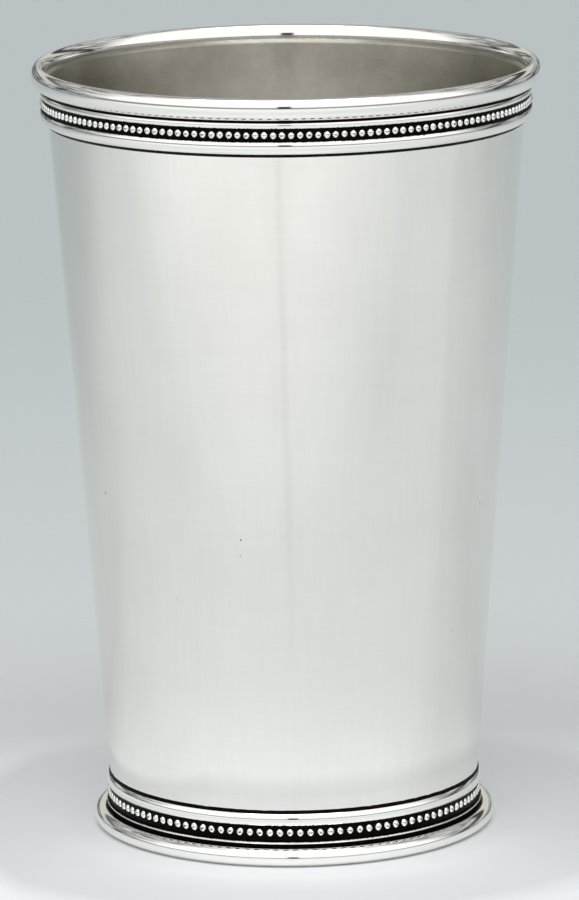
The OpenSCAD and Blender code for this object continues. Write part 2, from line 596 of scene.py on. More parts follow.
def marked_and_reflecting(bench, colour):
    """A colour with the wiping marks and the clouding of the wall's outside, and a painted reflection: an
    upright dark band down its front.
    """
    x, y, z = bench.axes(bench.place())
    colour = bench.blend(bench.span(z, *FRESH_HEIGHTS), colour, toned(FRESH_SILVER))
    marks = [bench.spread(bench.grain(grain), 0.0, share) for grain, share in HANDLED_MARKS]
    aside = bench.size_of(bench.total(x, bench.span(z, *STREAK_DRIFT)))
    reflected_streak = bench.total(bench.span(aside, *STREAK_CORE), bench.span(aside, *STREAK_SKIRT))
    front = bench.product(bench.span(y, *STREAK_FRONT), bench.span(z, *STREAK_START))
    # The painted reflection joins the wiping marks here, so both take the same dark colour
    marks.append(bench.product(reflected_streak, front))
    return bench.blend(bench.total(*marks), colour, toned(MARKS_AND_REFLECTION_SHADE))


# Polished silver
POLISH_CLOUD = Grain(55.0, 4.0, 0.6)
POLISH_DULL = (0.35, 0.7)
POLISH_DULL_TONE = (0.985, 0.98, 0.965)
POLISH_ROUGHNESS = (0.3, 0.75, 0.045, 0.085)
POLISH_MARKS = Grain((260.0, 260.0, 3200.0), 2.0)
POLISH_MARK_DEPTH = 0.0006 * MM
PITS_PER_METRE = 130.0
PIT_SIZE = 0.24 * MM
PIT_BOTTOM_SHARE = 0.35
PIT_DEPTH = 0.05 * MM
PIT_SHADE = (0.10, 0.09, 0.08)
HOLLOW_SPECKS = Grain(2600.0, 2.0)
HOLLOW_STRAY = 0.18
HOLLOW_EDGE = (0.42, 0.62)
HOLLOW_ROUGHNESS = 0.55


def polished_silver(silver, name="polished silver", hollow_colour=None, outer_wall=False):
    """Silver with a mirror polish, dulled a little by wiping, with scattered pits. With a hollow colour, the
    hollows are dark, and so is the painted shade at the beads' tops. The outer wall has wiping marks, clouding
    and a painted reflection too."""
    material, bench, shader = new_material(name, 1.0)
    cloud = bench.grain(POLISH_CLOUD)
    colour = bench.blend(bench.span(cloud, *POLISH_DULL), toned(silver), toned(silver, POLISH_DULL_TONE))
    if outer_wall:
        colour = marked_and_reflecting(bench, colour)
    cells = bench.add("ShaderNodeTexVoronoi", {"Vector": bench.place(), "Scale": PITS_PER_METRE})
    pit_share = PIT_SIZE * PITS_PER_METRE
    pit = bench.span(cells.outputs["Distance"], pit_share, PIT_BOTTOM_SHARE * pit_share)
    colour = bench.blend(pit, colour, toned(PIT_SHADE))
    roughness = bench.span(cloud, *POLISH_ROUGHNESS)
    normal = bench.bump(bench.grain(POLISH_MARKS), POLISH_MARK_DEPTH)
    normal = bench.bump(bench.reckon("SUBTRACT", 1.0, pit), PIT_DEPTH, normal)
    if hollow_colour is not None:
        depth = bench.add("ShaderNodeAttribute", attribute_name="hollow").outputs["Fac"]
        stray = bench.spread(bench.grain(HOLLOW_SPECKS), -HOLLOW_STRAY, HOLLOW_STRAY)
        dark = bench.span(bench.total(depth, stray), *HOLLOW_EDGE)
        colour = bench.blend(dark, colour, toned(hollow_colour))
        roughness = bench.mix(dark, roughness, HOLLOW_ROUGHNESS)
    finish(bench, shader, colour, roughness, normal)
    return material


# The silver inside, where depths are measured down from the wall's upper edge
INSIDE_MOTTLE = Grain(70.0, 5.0, 0.65)
INSIDE_FINE = Grain(900.0, 3.0, 0.7)
INSIDE_BRUSHED = Grain((90.0, 90.0, 4200.0), 3.0, 0.6)
INSIDE_BLOTCH = Grain(240.0, 4.0, 0.65)
INSIDE_FINE_SHARE = 0.3
INSIDE_WARM = (0.36, 0.64)
INSIDE_WARM_TONE = (0.84, 0.825, 0.78)
INSIDE_CALM_HEIGHTS = (5.0 * MM, 12.0 * MM, 0.4, 1.0)
INSIDE_SIDES = (11.0 * MM, 25.0 * MM)
# Painted shade: the tarnishing colour also darkens the inside towards the two sides, under the mouth in the
# middle, and in a thin band just under the lip
TARNISH_AND_PAINTED_SHADE = (0.10, 0.075, 0.04)
SIDE_PAINTED_SHADE_DEPTHS = (1.5 * MM, 4.5 * MM, 0.08, 0.34)
MIDDLE_PAINTED_SHADE_DEPTHS = (8.0 * MM, 4.0 * MM, 0.0, 0.13)
LIP_PAINTED_SHADE_DEPTHS = (0.65 * MM, 0.35 * MM, 0.0, 0.14)
BRUSHED_TARNISH = (-0.04, 0.05)
BLOTCHED_TARNISH = (-0.06, 0.10)
RAGGED_BY = 0.12 * MM
WORN_DEPTHS = (0.1 * MM, -0.05 * MM)
WORN_SIDES = (0.0, 0.6, 0.45, 0.0)
RUBBED_DEPTHS = (-0.22 * MM, -0.38 * MM)
RUBBED_TONE = 0.92
RUBBED_ROUGHNESS = 0.2
INSIDE_ROUGHNESS = (0.25, 0.75, 0.32, 0.42)
INSIDE_ANISOTROPY = 0.92
INSIDE_BRUSHED_TURN = 0.25
INSIDE_BRUSHED_DEPTH = 0.004 * MM


def inside_silver(settings):
    """Unpolished silver inside the cup: dull, brushed round, mottled with warm tarnishing, darkened by painted
    shade towards the two sides and under the mouth, and rubbed bright at the mouth."""
    material, bench, shader = new_material("inside silver", 1.0)
    fine = bench.grain(INSIDE_FINE)
    brushed = bench.grain(INSIDE_BRUSHED)
    x, y, z = bench.axes(bench.place())
    calm = bench.span(z, *INSIDE_CALM_HEIGHTS)
    depth = bench.reckon("SUBTRACT", top_of("cup_wall"), z)
    ragged = bench.total(depth, bench.spread(fine, RAGGED_BY, -RAGGED_BY))
    side = bench.span(bench.size_of(x), *INSIDE_SIDES)
    warm = bench.mix(INSIDE_FINE_SHARE, bench.grain(INSIDE_MOTTLE), fine)
    colour = bench.blend(
        bench.product(bench.span(warm, *INSIDE_WARM), calm),
        toned(settings.inside),
        toned(settings.inside, INSIDE_WARM_TONE),
    )
    middle = bench.reckon("SUBTRACT", 1.0, side)
    # Painted shade at the sides, under the mouth and under the lip, on top of the brushed and blotched
    # tarnishing
    tarnish_and_shade = bench.total(
        bench.product(bench.span(depth, *MIDDLE_PAINTED_SHADE_DEPTHS), middle),
        bench.product(bench.span(depth, *SIDE_PAINTED_SHADE_DEPTHS), side),
        bench.span(depth, *LIP_PAINTED_SHADE_DEPTHS),
        bench.spread(brushed, *BRUSHED_TARNISH),
        bench.product(bench.spread(bench.grain(INSIDE_BLOTCH), *BLOTCHED_TARNISH), calm),
    )
    colour = bench.blend(tarnish_and_shade, colour, toned(TARNISH_AND_PAINTED_SHADE))
    worn = bench.product(bench.span(ragged, *WORN_DEPTHS), bench.span(side, *WORN_SIDES))
    rubbed = bench.total(bench.span(ragged, *RUBBED_DEPTHS), worn)
    colour = bench.blend(rubbed, colour, toned(settings.silver, RUBBED_TONE))
    roughness = bench.mix(rubbed, bench.span(brushed, *INSIDE_ROUGHNESS), RUBBED_ROUGHNESS)
    round_the_cup = bench.add("ShaderNodeTangent", direction_type="RADIAL", axis="Z").outputs[0]
    bench.feed(shader.inputs["Tangent"], round_the_cup)
    shader.inputs["Anisotropic"].default_value = INSIDE_ANISOTROPY
    shader.inputs["Anisotropic Rotation"].default_value = INSIDE_BRUSHED_TURN
    finish(bench, shader, colour, roughness, bench.bump(brushed, INSIDE_BRUSHED_DEPTH))
    return material


# Solder
SOLDER_GRAIN = Grain(2400.0, 3.0, 0.6)
SOLDER_GLINTS = (0.55, 0.8)
SOLDER_GLINT = (0.03, 0.027, 0.024)
SOLDER_ROUGHNESS = (0.5, 0.75)
SOLDER_GRAIN_DEPTH = 0.03 * MM


def dark_solder(settings):
    """Solder and old polish blackened in a joint, with a grainy skin."""
    material, bench, shader = new_material("dark solder", 1.0)
    grain = bench.grain(SOLDER_GRAIN)
    colour = bench.blend(bench.span(grain, *SOLDER_GLINTS), toned(settings.hollow), toned(SOLDER_GLINT))
    roughness = bench.spread(grain, *SOLDER_ROUGHNESS)
    finish(bench, shader, colour, roughness, bench.bump(grain, SOLDER_GRAIN_DEPTH))
    return material


# The paper: ramps along x and y, and along the distance from the cup's axis, in metres
# Painted light falloff: the paper goes over from its front colour to its middle and back colours
BACK_Y = (-0.05, 0.5)
FRONT_Y = (-0.15, -0.38)
FRONT_SKEW = 0.2
GLOW_REACH = 0.04
GLOW_FALL = 5.0
GLOW_Y = (-0.01, -0.035, 0.3, 1.0)
POOL_FAR = (0.33, 0.07, 0.0, 0.53)
POOL_NEAR = (0.11, 0.06, 0.0, 0.6)
POOL_START = (0.059, 0.068)
POOL_START_SHIFT_X = (-0.045, -0.06, 0.0, 0.008)
POOL_Y = (0.06, 0.02)
POOL_X = (0.0, 0.1, 1.0, 0.6)
# Painted light: the paper is brighter far to either side of the cup, in front and beside it
BESIDE_X = (0.20, 0.34, 0.0, 0.09)
BESIDE_Y = (0.18, 0.05)
SHADE_X = (-0.10, -0.25)
SHADE_Y = (0.10, 0.25)
SHADE_TONE = 0.9
# Painted shadow: the paper is darker to the right of the cup's foot
RIGHT_SHADOW_NEAR_Y = (-0.04, -0.01)
RIGHT_SHADOW_FAR_Y = (0.13, 0.04)
RIGHT_SHADOW_X = (0.01, 0.045)
RIGHT_SHADOW_TONE = 0.95
# Painted light: the paper is brighter close round the sides and back of the foot, lifting the cup's shadow
# there
NEAR_FOOT_LIGHT_REACH = (0.09, 0.045)
NEAR_FOOT_LIGHT_Y = (-0.03, 0.02)
NEAR_FOOT_LIGHT_TONE = 1.15
# Painted light: the paper brightens towards the far back
FAR_Y = (0.45, 1.05, 1.0, 1.11)
TENT_FOOT_REACH = (1.9, 2.3, 1.0, 0.3)
PAPER_FIBRE = Grain(500.0)
PAPER_ROUGHNESS = (0.55, 0.7)
PAPER_FIBRE_DEPTH = 0.01 * MM


def paper(settings):
    """Pale paper with painted light: graded from bright in front to dim behind, lit up round the foot, in a
    pool in front, far to either side, close beside the foot and far behind, and darkened by painted shade to
    the left behind the cup and to the right of its foot.
    """
    material, bench, shader = new_material("stage paper", 0.0)
    x, y, z = bench.axes(bench.place())
    distance = bench.add("ShaderNodeVectorMath", {0: bench.place()}, operation="LENGTH").outputs["Value"]
    front = bench.span(bench.total(y, bench.product(x, FRONT_SKEW)), *FRONT_Y)
    colour = bench.blend(bench.span(y, *BACK_Y), toned(settings.floor_middle), toned(settings.floor_back))
    colour = bench.blend(front, colour, toned(settings.floor_front))
    fall = bench.reckon("DIVIDE", GLOW_REACH, bench.reckon("MAXIMUM", distance, GLOW_REACH))
    fall = bench.product(bench.reckon("POWER", fall, GLOW_FALL), bench.span(y, *GLOW_Y))
    pool = bench.product(
        bench.total(bench.span(distance, *POOL_FAR), bench.span(distance, *POOL_NEAR)),
        bench.span(bench.total(distance, bench.span(x, *POOL_START_SHIFT_X)), *POOL_START),
        bench.span(y, *POOL_Y),
        bench.span(x, *POOL_X),
    )
    beside = bench.product(bench.span(bench.size_of(x), *BESIDE_X), bench.span(y, *BESIDE_Y))
    shade = bench.product(bench.span(x, *SHADE_X), bench.span(y, *SHADE_Y))
    right_shadow = bench.product(bench.span(y, *RIGHT_SHADOW_NEAR_Y), bench.span(y, *RIGHT_SHADOW_FAR_Y), bench.span(x, *RIGHT_SHADOW_X))
    near_foot_light = bench.product(bench.span(distance, *NEAR_FOOT_LIGHT_REACH), bench.span(y, *NEAR_FOOT_LIGHT_Y))
    glow = bench.total(
        1.0,
        bench.product(fall, settings.floor_glow),
        bench.product(pool, settings.floor_pool),
        beside,
    )
    glow = bench.product(
        glow,
        bench.span(shade, 0.0, 1.0, 1.0, SHADE_TONE),
        bench.span(right_shadow, 0.0, 1.0, 1.0, RIGHT_SHADOW_TONE),
        bench.span(near_foot_light, 0.0, 1.0, 1.0, NEAR_FOOT_LIGHT_TONE),
        bench.span(y, *FAR_Y),
        bench.span(distance, *TENT_FOOT_REACH),
    )
    colour = bench.add("ShaderNodeVectorMath", {0: colour, "Scale": glow}, operation="SCALE")
    fibre = bench.grain(PAPER_FIBRE)
    roughness = bench.spread(fibre, *PAPER_ROUGHNESS)
    finish(bench, shader, colour.outputs["Vector"], roughness, bench.bump(fibre, PAPER_FIBRE_DEPTH))
    return material


# Pieces

class CupOperator:
    """What the cup's operators share."""

    bl_options = {"REGISTER", "UNDO"}

    def execute(self, context):
        """Builds the piece from the panel's settings."""
        self.build(context.scene.julep_cup)
        return {"FINISHED"}


class CUP_OT_wall(CupOperator, bpy.types.Operator):
    """Build the tapered wall, polished outside and dull inside"""

    bl_idname = "julep_cup.wall"
    bl_label = "Wall"
    ROWS = 64
    FLARE_ROWS = 9
    SEAT_FLARE_SHARE = 0.08
    SEED = 5
    WAVES = 9
    WAVE_TURNS = (2, 3, 4, 5, 7)
    WAVE_PITCHES = (25, 90)
    WAVE_FADE = 10.0 * MM

    def build(self, cup):
        """Turns the sheet's outline, and splits its faces into outside and inside."""
        wall = cup.wall
        foot = bottom_of("cup_wall")
        mouth = top_of("cup_wall")
        heights = list(np.linspace(foot, mouth - wall.flare_height, self.ROWS))
        heights += list(np.linspace(mouth - wall.flare_height, mouth, self.FLARE_ROWS))[1:]
        outside = [(mouth_radius(wall, z), z) for z in heights]
        seat = cup.border.lip_seat
        inside = [(inner_radius(wall, mouth) + self.SEAT_FLARE_SHARE * seat, mouth + seat)]
        inside += [(inner_radius(wall, z), z) for z in reversed(heights)]
        free_low = top_of("foot_band_solder")
        free_high = bottom_of("rim_band_solder")
        rng = random.Random(self.SEED)
        waves = []
        for _ in range(self.WAVES):
            turns = rng.choice(self.WAVE_TURNS)
            phase = rng.uniform(0, math.tau)
            pitch = rng.uniform(*self.WAVE_PITCHES)
            waves.append((turns, phase, pitch, rng.uniform(0, math.tau)))

        def stray(angle, height):
            free = min(height - free_low, free_high - height) / self.WAVE_FADE
            ripple = sum(
                math.sin(turns * angle + phase) * math.sin(pitch * height + shift)
                for turns, phase, pitch, shift in waves
            )
            return wall.unevenness * min(1.0, max(0.0, free)) * ripple / math.sqrt(len(waves))

        lift = lip_sway(cup.border)
        piece = turned("cup_wall_sheet", outside + inside, ROUND_COLUMNS, stray=stray, lift=lift)
        outer = polished_silver(wall.silver, "wall silver", outer_wall=True)
        place(piece, ["cup_wall"], "polished_silver", outer, inside_silver(wall))
        for face in piece.data.polygons:
            out = Vector((face.center.x, face.center.y, 0.0))
            if face.normal.dot(out) < 0 or face.center.z > mouth:
                face.material_index = 1


class CUP_OT_bottom(CupOperator, bpy.types.Operator):
    """Build the floor let into the wall, and the solder fillet under it"""

    bl_idname = "julep_cup.bottom"
    bl_label = "Floor and Fillet"
    UPPER_RINGS = 40
    LOWER_RINGS = 12
    FILLET_STEPS = 6

    def build(self, cup):
        """Turns the disc with a spun surface, and the fillet."""
        wall = cup.wall
        low = bottom_of("cup_floor")
        high = top_of("cup_floor")
        low_reach = wall_radius(wall, low) - wall.thickness
        high_reach = wall_radius(wall, high) - wall.thickness
        outline = [(high_reach * k / self.UPPER_RINGS, high) for k in range(self.UPPER_RINGS + 1)]
        outline += [(low_reach * k / self.LOWER_RINGS, low) for k in range(self.LOWER_RINGS, -1, -1)]
        disc = turned("cup_floor_disc", outline, FLOOR_COLUMNS)
        inside = bpy.data.materials["inside silver"]
        place(disc, ["cup_floor"], "satin_silver", inside)
        leg = low - bottom_of("floor_solder")
        toe = wall_radius(wall, low - leg) - wall.thickness
        hollow = arc((toe - leg, low - leg), leg, leg, 0.0, 90.0, self.FILLET_STEPS)
        fillet = turned("floor_solder_fillet", [(low_reach, low)] + hollow[::-1], FLOOR_COLUMNS)
        place(fillet, ["floor_solder"], "satin_silver", inside)


class CUP_OT_lip(CupOperator, bpy.types.Operator):
    """Build the oval wire that caps the mouth"""

    bl_idname = "julep_cup.lip"
    bl_label = "Lip Wire"
    UPPER_STEPS = 50
    UNDER_STEPS = 60

    def build(self, cup):
        """Turns the oval, cut back to the wall that it is soldered to."""
        border = cup.border
        half_width = border.lip_width / 2
        middle = top_of("cup_wall")
        half_height = top_of("rim_lip") - middle
        centre = (reach_of("rim_lip") - half_width, middle)
        seat_turn = math.degrees(math.asin(border.lip_seat / half_height))
        upper = arc(centre, half_width, half_height, 0.0, 180.0 - seat_turn, self.UPPER_STEPS)
        outline = lip_underside(cup, 0.0, self.UNDER_STEPS)
        outline += upper[1:]
        outline.append((reach_of("cup_wall"), middle))
        piece = turned("lip_wire", outline, ROUND_COLUMNS, lift=lip_sway(border))
        place(piece, ["rim_lip"], "polished_silver", polished_silver(border.silver))


class CUP_OT_borders(CupOperator, bpy.types.Operator):
    """Build the rolled border strips with their rows of beads"""

    bl_idname = "julep_cup.borders"
    bl_label = "Beaded Borders"

    def build(self, cup):
        """Rolls the strip at the rim and the one at the foot."""
        material = polished_silver(cup.border.silver, "border silver", cup.border.hollow)
        rim = Strip(
            beads=cup.border.rim_beads,
            turn=cup.border.rim_turn,
            bead_width=cup.border.rim_bead_width,
            bead_height=cup.border.rim_bead_height,
            bead_lean=0.06,
            edge=top_of("rim_bead_band"),
            way=-1,
            rib_height=0.85 * MM,
            rib_reach=41.03 * MM,
            channel_height=2.23 * MM,
            channel_reach=40.70 * MM,
            round_height=2.12 * MM,
            round_full=0.75 * MM,
            round_in=0.95 * MM,
            edge_reach=reach_of("rim_band_solder"),
            bead_shift=0.03 * MM,
        )
        foot = Strip(
            beads=cup.border.foot_beads,
            turn=cup.border.foot_turn,
            bead_width=cup.border.foot_bead_width,
            bead_height=cup.border.foot_bead_height,
            bead_lean=0.13,
            edge=bottom_of("foot_bead_band"),
            way=1,
            rib_height=0.32 * MM,
            rib_reach=31.91 * MM,
            channel_height=2.83 * MM,
            channel_reach=31.41 * MM,
            round_height=1.9 * MM,
            round_full=0.85 * MM,
            round_in=0.4 * MM,
            edge_reach=reach_of("foot_band_solder"),
            bead_shift=0.1 * MM,
        )
        for name, node, strip in (
            ("rim_border", "rim_bead_band", rim),
            ("foot_border", "foot_bead_band", foot),
        ):
            piece = strip.rolled(name, cup)
            place(piece, [node], "polished_silver", material)


@dataclass
class Strip:
    """A rolled border strip: a plain rib, a sunk channel with a row of beads, and a half-round moulding.

    Distances across the strip start from the rib's outer edge and run towards the half-round's.
    """

    beads: int
    turn: float
    bead_width: float
    bead_height: float
    bead_lean: float
    edge: float
    way: int
    rib_height: float
    rib_reach: float
    channel_height: float
    channel_reach: float
    round_height: float
    round_full: float
    round_in: float
    edge_reach: float
    bead_shift: float

    SEED = 11
    COLUMNS = 6
    LEAST_ROWS = 4
    DOME_RINGS = 7
    CHANNEL_SHARES = (0.35, 1.0)
    RIB_STEPS = 8
    RIB_CROWN_SHARE = 0.8
    ROUND_STEPS = 22
    EASE = 0.07 * MM
    BEAD_SIZES = (0.96, 1.04)
    BEAD_STRAY = 0.03 * MM
    # Painted shade at each bead's top, standing for a small dimple that the mesh doesn't have
    DIMPLE_WIDTH_SHARE = 0.50
    DIMPLE_HEIGHT_SHARE = 0.25
    DIMPLE_PAINTED_SHADE = 0.5
    DIMPLE_REACH = 1.52
    FLANK_START_SHARE = 0.88
    FLANK_END_SHARE = 0.98
    EDGE_TARNISH = 0.6
    TARNISH_REACH = 0.2 * MM

    def height(self, across):
        """Height above the ground of a place across the strip."""
        return self.edge + self.way * across

    def rib_outline(self, cup):
        """Points from the wall round the rib to the channel's floor."""
        crown = self.RIB_CROWN_SHARE * self.rib_height
        swing = math.degrees(math.asin(self.rib_height / 2 / crown))
        centre = (self.rib_reach - crown, self.rib_height / 2)
        face = arc(centre, crown, crown, -swing, swing, self.RIB_STEPS)
        return [(wall_radius(cup.wall, self.edge), 0.0)] + face + [(self.channel_reach, self.rib_height)]

    def round_outline(self, cup):
        """Points from the channel's floor round the half-round to the wall."""
        start = self.rib_height + self.channel_height
        drawn = self.round_height - self.round_full
        radius = (drawn ** 2 + self.round_in ** 2) / (2 * self.round_in)
        centre = (self.edge_reach + self.round_in - radius, start + self.round_full)
        low = -math.degrees(math.asin(self.round_full / radius))
        high = math.degrees(math.asin(drawn / radius))
        end = start + self.round_height
        face = arc(centre, radius, radius, low, high, self.ROUND_STEPS)
        return [(self.channel_reach, start)] + face + [(wall_radius(cup.wall, self.height(end)), end)]

    def rolled(self, name, cup):
        """The whole strip as one closed mesh object."""
        columns = self.beads * self.COLUMNS
        vertices = []
        faces = []
        shares = []
        rib = self.rib_outline(cup)
        moulding = self.round_outline(cup)
        closing = [moulding[-1], rib[0]]
        channel_end = self.rib_height + self.channel_height
        for outline, dark in ((rib, self.rib_height), (moulding, channel_end), (closing, None)):
            self.add_rows(outline, dark, columns, vertices, faces, shares)
        rng = random.Random(self.SEED)
        for i in range(self.beads):
            cell = self.bead_cell(cup.border, rng)
            self.add_cell(cell, self.turned_by(i), vertices, faces, shares)
        return finished_mesh(name, vertices, faces, shares)

    def turned_by(self, beads):
        """Angle round the axis of a place some beads past the first one, which lies near the cup's front."""
        return self.turn - math.pi / 2 + math.tau * beads / self.beads

    def add_rows(self, outline, dark, columns, vertices, faces, shares):
        """Adds an open outline turned round the axis, darkened near the channel's edge at a height."""
        start = len(vertices)
        angles = self.turned_by((np.arange(columns) - self.COLUMNS / 2) / self.COLUMNS)
        for radius, across in outline:
            share = 0.0
            if dark is not None:
                near = max(0.0, 1.0 - abs(across - dark) / self.TARNISH_REACH)
                share = self.EDGE_TARNISH * near
            if share > 0.0 and radius < self.channel_reach + self.EASE:
                share = 1.0
            z = self.height(across)
            vertices.extend(zip(radius * np.cos(angles), radius * np.sin(angles), [z] * columns))
            shares.extend([share] * columns)
        for row in range(len(outline) - 1):
            for j in range(columns):
                k = (j + 1) % columns
                a = start + row * columns
                b = a + columns
                faces.append((a + j, a + k, b + k, b + j))

    def bead_cell(self, border, rng):
        """One bead and the channel floor round it, as points of (along, across, rise, hollow) and faces.

        Each bead strays a little in place, size and lean, and has painted shade at its top, standing for a
        small dimple that the mesh doesn't have.
        """
        width = math.tau * self.channel_reach / self.beads
        rows = max(self.LEAST_ROWS, round(self.channel_height / width * self.COLUMNS / 2) * 2)
        low = self.rib_height
        high = low + self.channel_height
        middle = (low + high) / 2 + self.bead_shift
        edge = [(width * (k / self.COLUMNS - 0.5), low) for k in range(self.COLUMNS)]
        edge += [(width / 2, low + self.channel_height * k / rows) for k in range(rows)]
        edge += [(width * (0.5 - k / self.COLUMNS), high) for k in range(self.COLUMNS)]
        edge += [(-width / 2, high - self.channel_height * k / rows) for k in range(rows)]
        size = rng.uniform(*self.BEAD_SIZES)
        half_width = self.bead_width / 2 * size
        half_height = self.bead_height / 2 * size
        aside = rng.uniform(-1.0, 1.0) * self.BEAD_STRAY
        middle += rng.uniform(-1.0, 1.0) * self.BEAD_STRAY
        lean = rng.uniform(-1.0, 1.0) * self.bead_lean
        turns = [math.atan2((y - middle) / half_height, x / half_width) for x, y in edge]
        base = [
            (aside + half_width * math.cos(t) + lean * half_height * math.sin(t), half_height * math.sin(t))
            for t in turns
        ]
        ball = (half_width + half_height) / 2
        sunk = ball - border.bead_rise
        flank = math.acos(sunk / ball)
        points = [(aside, middle, border.bead_rise, self.DIMPLE_PAINTED_SHADE)]
        for ring in range(1, self.DOME_RINGS + 1):
            tilt = flank * ring / self.DOME_RINGS
            share = math.sin(tilt) / math.sin(flank)
            rise = ball * math.cos(tilt) - sunk
            flank_share = np.interp(tilt / flank, (self.FLANK_START_SHARE, self.FLANK_END_SHARE), (0.0, 1.0))
            for (x, y), t in zip(base, turns):
                off_x = math.cos(t) / self.DIMPLE_WIDTH_SHARE
                off_y = math.sin(t) / self.DIMPLE_HEIGHT_SHARE
                dimple = max(0.0, self.DIMPLE_REACH - share * math.hypot(off_x, off_y))
                hollow = max(flank_share, min(self.DIMPLE_PAINTED_SHADE, dimple))
                points.append((aside + (x - aside) * share, middle + y * share, rise, hollow))
        for share in self.CHANNEL_SHARES:
            points += [
                (bx + (x - bx) * share, middle + by + (y - middle - by) * share, 0.0, 1.0)
                for (bx, by), (x, y) in zip(base, edge)
            ]
        count = len(edge)
        faces = [(0, 1 + k, 1 + (k + 1) % count) for k in range(count)]
        for ring in range(self.DOME_RINGS + 1):
            a = 1 + ring * count
            b = a + count
            faces += [(a + k, b + k, b + (k + 1) % count, a + (k + 1) % count) for k in range(count)]
        return points, faces

    def add_cell(self, cell, angle, vertices, faces, shares):
        """Adds one bead's cell at an angle round the cup."""
        points, cell_faces = cell
        start = len(vertices)
        for x, across, rise, hollow in points:
            turn = angle + x / self.channel_reach
            radius = self.channel_reach + rise
            vertices.append((radius * math.cos(turn), radius * math.sin(turn), self.height(across)))
            shares.append(hollow)
        faces.extend(tuple(start + v for v in face) for face in cell_faces)


class CUP_OT_solders(CupOperator, bpy.types.Operator):
    """Build the blackened solder in the joints at the rim and at the foot"""

    bl_idname = "julep_cup.solders"
    bl_label = "Dark Solder"
    RIM_LINE_START = 0.15 * MM
    RIM_LINE_HEIGHT = 0.52 * MM
    FOOT_LINE_HEIGHT = 0.62 * MM
    SUNK = 0.05 * MM
    TOE = 0.01 * MM
    KNEE_DEPTH_SHARE = 0.35
    KNEE_HEIGHT_SHARE = 0.55
    RAGGED_BY = 0.05 * MM
    RAGGED_WAVES = 30.0
    LIP_JOINT_STEPS = 20
    FOOT_JOINT_STEPS = 8

    def build(self, cup):
        """Turns each joint's outline, with a slightly ragged edge."""
        material = dark_solder(cup.border)
        rim_edge = bottom_of("rim_bead_band") + self.RIM_LINE_START
        rim_end = rim_edge - self.RIM_LINE_HEIGHT
        foot_edge = top_of("foot_bead_band")
        foot_end = foot_edge + self.FOOT_LINE_HEIGHT
        self.line("rim_line", "rim_band_solder", cup, rim_edge, rim_end, material)
        self.line("foot_line", "foot_band_solder", cup, foot_edge, foot_end, material)
        self.lip_joint(cup, material)
        self.foot_joint(cup, material)

    def line(self, name, node, cup, edge, end, material):
        """The thin line between a half-round's edge and the wall."""
        reach = reach_of(node)
        toe = wall_radius(cup.wall, end)
        outline = [
            (wall_radius(cup.wall, edge) - self.SUNK, edge),
            (reach, edge),
            (reach - self.KNEE_DEPTH_SHARE * (reach - toe), edge + self.KNEE_HEIGHT_SHARE * (end - edge)),
            (toe + self.TOE, end),
            (toe - self.SUNK, end),
        ]

        def ragged(angle, height):
            if abs(height - edge) < TINY:
                return 0.0
            spot = Vector((math.cos(angle), math.sin(angle), height)) * self.RAGGED_WAVES
            return self.RAGGED_BY * noise.noise(spot)

        piece = turned(name, outline, LINE_COLUMNS, stray=ragged)
        place(piece, [node], "dark_silver", material)

    def lip_joint(self, cup, material):
        """The groove under the lip."""
        node = "rim_lip_solder"
        reach = reach_of(node)
        low = bottom_of(node)
        half_width = cup.border.under_width
        turn = math.degrees(math.acos((reach - reach_of("rim_lip") + half_width) / half_width))
        outline = [(wall_radius(cup.wall, low), low), (reach, low)]
        outline += reversed(lip_underside(cup, -turn, self.LIP_JOINT_STEPS))
        piece = turned("lip_joint", outline, ROUND_COLUMNS)
        place(piece, [node], "dark_silver", material)

    def foot_joint(self, cup, material):
        """The groove above the foot wire."""
        node = "foot_ring_solder"
        reach = reach_of(node)
        low = bottom_of(node)
        high = top_of(node)
        radius = cup.border.foot_wire / 2
        centre = reach_of("foot_ring") - radius
        start = 180.0 - math.degrees(math.asin((low - radius) / radius))
        end = 180.0 - math.degrees(math.acos((centre - reach) / radius))
        outline = [(wall_radius(cup.wall, low), low)]
        outline += arc((centre, radius), radius, radius, start, end, self.FOOT_JOINT_STEPS)
        outline += [(reach, high), (wall_radius(cup.wall, high), high)]
        piece = turned("foot_joint", outline, ROUND_COLUMNS)
        place(piece, [node], "dark_silver", material)


class CUP_OT_foot(CupOperator, bpy.types.Operator):
    """Build the round foot wire with its flat back and flat underside"""

    bl_idname = "julep_cup.foot"
    bl_label = "Foot Wire"
    STEPS = 72
    CORNER_RADIUS = 0.05 * MM

    def build(self, cup):
        """Turns the wire's outline."""
        radius = cup.border.foot_wire / 2
        centre = reach_of("foot_ring") - radius
        web = bottom_of("foot_ring_solder")
        turn = 180.0 - math.degrees(math.asin((web - radius) / radius))
        outline = [(wall_radius(cup.wall, 0.0), 0.0)]
        outline += arc((centre, radius), radius, radius, -90.0, turn, self.STEPS)
        outline.append((wall_radius(cup.wall, web), web))
        piece = turned("foot_wire", eased(outline, self.CORNER_RADIUS), ROUND_COLUMNS)
        place(piece, ["foot_ring"], "polished_silver", bpy.data.materials["polished silver"])


# Stage

